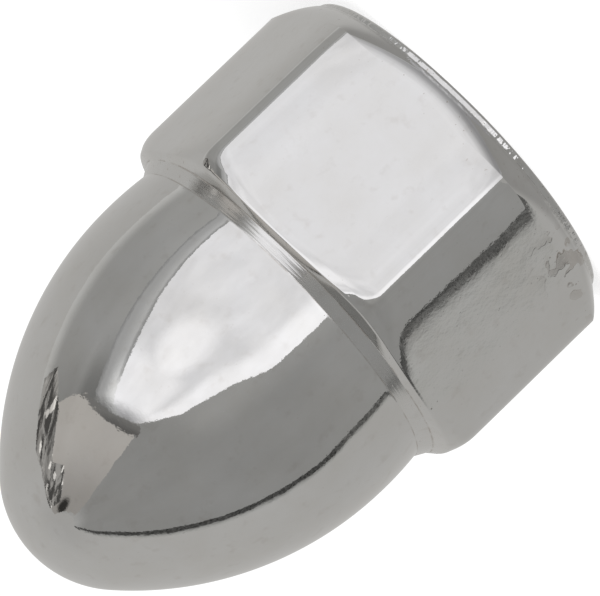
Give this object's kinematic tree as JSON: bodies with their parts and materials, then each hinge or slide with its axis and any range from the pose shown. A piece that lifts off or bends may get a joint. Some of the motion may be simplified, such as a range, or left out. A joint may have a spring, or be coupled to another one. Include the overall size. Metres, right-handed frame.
{
  "type": "cap nut",
  "caption": "Hexagon cap nut with a high ogive crown, a chamfered and rounded shoulder, a washer face and a blind tapped hole, bright chrome plated.",
  "frame": {"origin": "centre of the bearing (washer) face, at the mouth of the tapped hole", "axes": "+Z along the thread axis towards the tip of the dome; +X out through the middle of one flat of the hexagon; +Y completes the right-handed frame"},
  "size_m": [0.0142, 0.0162, 0.0208],
  "materials": {
    "chrome_plate": "bright nickel-chrome plating, polished, with faint waviness and a few small pits"
  },
  "bodies": {
    "root": {"cap_nut": "chrome_plate"}
  },
  "joints": []
}
